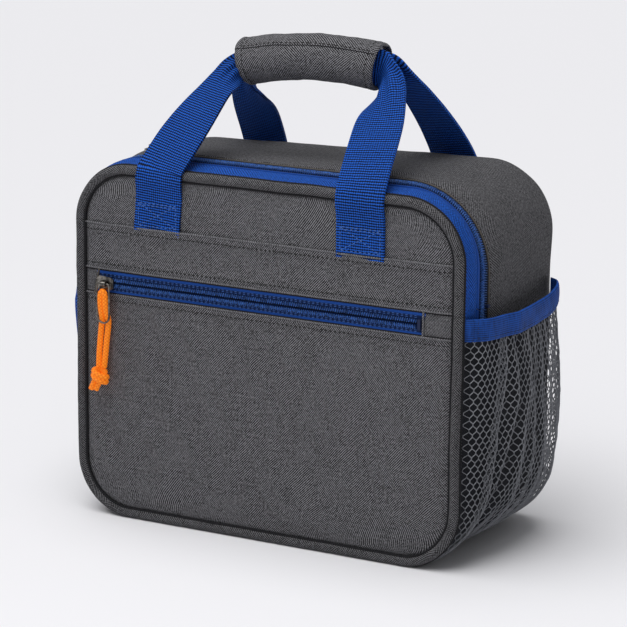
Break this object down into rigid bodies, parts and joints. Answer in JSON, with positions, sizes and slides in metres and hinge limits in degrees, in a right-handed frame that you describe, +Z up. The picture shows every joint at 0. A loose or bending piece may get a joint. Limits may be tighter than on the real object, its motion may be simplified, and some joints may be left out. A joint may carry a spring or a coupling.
{
  "type": "lunch box",
  "caption": "Soft insulated lunch bag in charcoal heather fabric with blue webbing handles, a blue main zip, a front zip pocket with an orange cord pull, and net side pockets.",
  "frame": {"origin": "on the ground under the middle of the bag's base", "axes": "+Z up, -Y is the front face with the zipped pocket, +X to the right seen from the front"},
  "size_m": [0.3026, 0.144, 0.3014],
  "materials": {
    "heather_fabric": "matte, charcoal heather woven polyester",
    "piping_fabric": "matte, woven cover over a cord",
    "blue_webbing": "matte, ribbed woven webbing",
    "blue_fabric": "matte, plain woven",
    "zip_tape": "matte, herringbone woven tape",
    "zip_coil": "satin nylon coil",
    "net": "open knitted net",
    "elastic": "matte ribbed elastic",
    "foam": "matte closed-cell foam",
    "liner": "smooth food-safe film",
    "lining": "matte plain woven",
    "hook_loop": "matte hook-and-loop tape",
    "gunmetal": "glossy gunmetal plating",
    "orange_cord": "matte braided cord"
  },
  "bodies": {
    "bag_body": {"outer_shell": "heather_fabric", "back_panel": "heather_fabric", "body_foam": "foam", "body_liner": "liner", "side_gusset_lower": "blue_fabric", "lower_panel": "heather_fabric", "pocket_lining": "lining", "lower_foam": "foam", "lower_liner": "liner", "piping_lower": "piping_fabric", "zip_tape_rear": "zip_tape", "zip_coil_rear": "zip_coil", "rim_binding": "heather_fabric", "zip_end_stops": "zip_tape", "pocket_zip_tape": "zip_tape", "pocket_zip_coil": "zip_coil", "pocket_zip_stop": "gunmetal", "end_tab_left": "heather_fabric", "end_tab_right": "heather_fabric", "mesh_pocket_right": "net", "mesh_pocket_left": "net", "elastic_right": "elastic", "elastic_left": "elastic", "rear_strap_ends": "blue_webbing"},
    "front_flap": {"yoke": "heather_fabric", "middle_band": "heather_fabric", "flap_foam": "foam", "flap_liner": "liner", "piping_upper": "piping_fabric", "gusset_upper": "blue_fabric", "zip_tape_front": "zip_tape", "zip_coil_front": "zip_coil", "front_strap_ends": "blue_webbing"},
    "front_handle": {"front_webbing": "blue_webbing", "grip_front": "heather_fabric", "pad_front": "foam", "loop_tape": "hook_loop"},
    "rear_handle": {"rear_webbing": "blue_webbing", "grip_rear": "heather_fabric", "pad_rear": "foam", "hook_tape": "hook_loop"},
    "pocket_slider_body": {"pocket_slider": "gunmetal"},
    "pocket_pull": {"pocket_bail": "gunmetal", "pull_cord": "orange_cord", "pull_knot": "orange_cord"},
    "main_left_slider_body": {"main_slider_left": "gunmetal"},
    "main_left_pull_body": {"main_pull_left": "gunmetal"},
    "main_right_slider_body": {"main_slider_right": "gunmetal"},
    "main_right_pull_body": {"main_pull_right": "gunmetal"}
  },
  "joints": [
    {"name": "flap_fold", "type": "hinge", "parent": "bag_body", "child": "front_flap", "pos_m": [0, -0.0665, 0.157], "axis": [1, 0, 0], "range_deg": [0, 75]},
    {"name": "front_handle_fold", "type": "hinge", "parent": "front_flap", "child": "front_handle", "pos_m": [0, -0.0686, 0.2026], "axis": [1, 0, 0], "range_deg": [0, 120]},
    {"name": "rear_handle_fold", "type": "hinge", "parent": "bag_body", "child": "rear_handle", "pos_m": [0, 0.0673, 0.2026], "axis": [-1, 0, 0], "range_deg": [0, 120]},
    {"name": "pocket_zip_travel", "type": "slide", "parent": "bag_body", "child": "pocket_slider_body", "axis": [1, 0, 0], "range_m": [0, 0.203]},
    {"name": "pocket_pull_swing", "type": "hinge", "parent": "pocket_slider_body", "child": "pocket_pull", "pos_m": [-0.1075, -0.0718, 0.149], "axis": [-1, 0, 0], "range_deg": [0, 75]},
    {"name": "main_zip_left_turn", "type": "hinge", "parent": "bag_body", "child": "main_left_slider_body", "pos_m": [-0.088, -0.0421, 0.179], "axis": [0, 1, 0], "range_deg": [-90, 0]},
    {"name": "main_pull_left_swing", "type": "hinge", "parent": "main_left_slider_body", "child": "main_left_pull_body", "pos_m": [-0.088, -0.0421, 0.2315], "axis": [1, 0, 0], "range_deg": [0, 120]},
    {"name": "main_zip_right_travel", "type": "slide", "parent": "bag_body", "child": "main_right_slider_body", "axis": [1, 0, 0], "range_m": [0, 0.16]},
    {"name": "main_pull_right_swing", "type": "hinge", "parent": "main_right_slider_body", "child": "main_right_pull_body", "pos_m": [-0.074, -0.0421, 0.2315], "axis": [1, 0, 0], "range_deg": [0, 60]}
  ]
}
